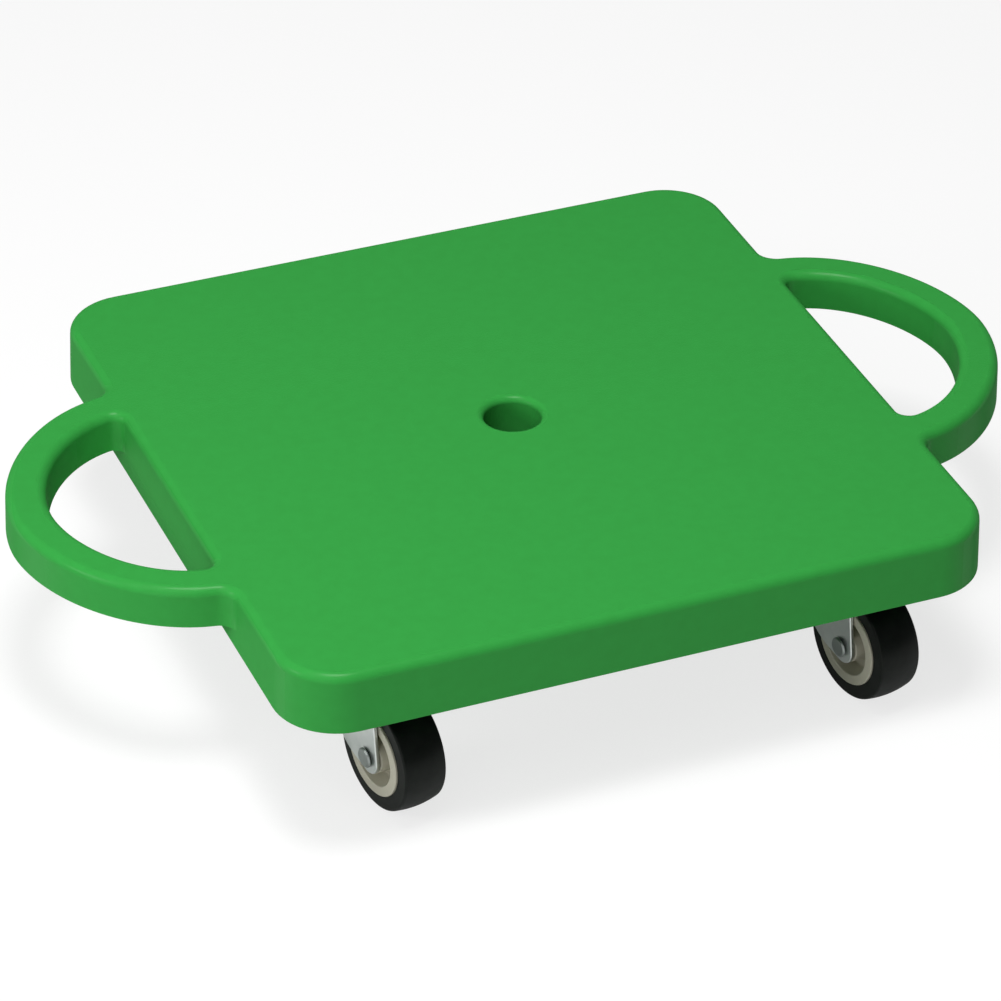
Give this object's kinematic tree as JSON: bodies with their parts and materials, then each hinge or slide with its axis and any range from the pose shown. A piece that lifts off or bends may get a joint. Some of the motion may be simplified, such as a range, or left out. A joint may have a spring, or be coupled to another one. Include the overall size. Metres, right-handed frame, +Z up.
{
  "type": "scooter board",
  "caption": "Square moulded scooter board with rounded corners, a bow handle on two sides, a round middle hole and swivel casters underneath.",
  "frame": {"origin": "on the floor under the middle of the deck", "axes": "+X from the left handle to the right handle, +Z up, +Y to the back"},
  "size_m": [0.4388, 0.3062, 0.0868],
  "materials": {
    "deck_plastic": "satin injection-moulded polypropylene, green",
    "zinc_steel": "zinc-plated pressed steel",
    "bright_steel": "bright turned steel",
    "hub_plastic": "moulded plastic, cream",
    "tyre_rubber": "smooth black rubber"
  },
  "bodies": {
    "board": {"deck": "deck_plastic", "front_left_mount_plate": "zinc_steel", "front_left_kingpin": "bright_steel", "front_left_lower_race": "zinc_steel", "front_left_screw_1": "bright_steel", "front_left_screw_2": "bright_steel", "front_left_screw_3": "bright_steel", "front_left_screw_4": "bright_steel", "front_right_mount_plate": "zinc_steel", "front_right_kingpin": "bright_steel", "front_right_lower_race": "zinc_steel", "front_right_screw_1": "bright_steel", "front_right_screw_2": "bright_steel", "front_right_screw_3": "bright_steel", "front_right_screw_4": "bright_steel", "rear_left_mount_plate": "zinc_steel", "rear_left_kingpin": "bright_steel", "rear_left_lower_race": "zinc_steel", "rear_left_screw_1": "bright_steel", "rear_left_screw_2": "bright_steel", "rear_left_screw_3": "bright_steel", "rear_left_screw_4": "bright_steel", "rear_right_mount_plate": "zinc_steel", "rear_right_kingpin": "bright_steel", "rear_right_lower_race": "zinc_steel", "rear_right_screw_1": "bright_steel", "rear_right_screw_2": "bright_steel", "rear_right_screw_3": "bright_steel", "rear_right_screw_4": "bright_steel"},
    "front_left_swivel": {"front_left_yoke": "zinc_steel", "front_left_axle": "bright_steel", "front_left_bush": "bright_steel"},
    "front_left_wheel": {"front_left_hub": "hub_plastic", "front_left_tyre": "tyre_rubber"},
    "front_right_swivel": {"front_right_yoke": "zinc_steel", "front_right_axle": "bright_steel", "front_right_bush": "bright_steel"},
    "front_right_wheel": {"front_right_hub": "hub_plastic", "front_right_tyre": "tyre_rubber"},
    "rear_left_swivel": {"rear_left_yoke": "zinc_steel", "rear_left_axle": "bright_steel", "rear_left_bush": "bright_steel"},
    "rear_left_wheel": {"rear_left_hub": "hub_plastic", "rear_left_tyre": "tyre_rubber"},
    "rear_right_swivel": {"rear_right_yoke": "zinc_steel", "rear_right_axle": "bright_steel", "rear_right_bush": "bright_steel"},
    "rear_right_wheel": {"rear_right_hub": "hub_plastic", "rear_right_tyre": "tyre_rubber"}
  },
  "joints": [
    {"name": "front_left_swivel_turn", "type": "hinge", "parent": "board", "child": "front_left_swivel", "pos_m": [-0.1046, -0.1046, 0.0567], "axis": [0, 0, 1], "continuous": true},
    {"name": "front_left_wheel_roll", "type": "hinge", "parent": "front_left_swivel", "child": "front_left_wheel", "pos_m": [-0.10097, -0.12325, 0.0254], "axis": [0.9816, 0.1908, 0], "continuous": true},
    {"name": "front_right_swivel_turn", "type": "hinge", "parent": "board", "child": "front_right_swivel", "pos_m": [0.1046, -0.1046, 0.0567], "axis": [0, 0, 1], "continuous": true},
    {"name": "front_right_wheel_roll", "type": "hinge", "parent": "front_right_swivel", "child": "front_right_wheel", "pos_m": [0.10823, -0.12325, 0.0254], "axis": [0.9816, 0.1908, 0], "continuous": true},
    {"name": "rear_left_swivel_turn", "type": "hinge", "parent": "board", "child": "rear_left_swivel", "pos_m": [-0.1046, 0.1046, 0.0567], "axis": [0, 0, 1], "continuous": true},
    {"name": "rear_left_wheel_roll", "type": "hinge", "parent": "rear_left_swivel", "child": "rear_left_wheel", "pos_m": [-0.10097, 0.08595, 0.0254], "axis": [0.9816, 0.1908, 0], "continuous": true},
    {"name": "rear_right_swivel_turn", "type": "hinge", "parent": "board", "child": "rear_right_swivel", "pos_m": [0.1046, 0.1046, 0.0567], "axis": [0, 0, 1], "continuous": true},
    {"name": "rear_right_wheel_roll", "type": "hinge", "parent": "rear_right_swivel", "child": "rear_right_wheel", "pos_m": [0.10823, 0.08595, 0.0254], "axis": [0.9816, 0.1908, 0], "continuous": true}
  ]
}
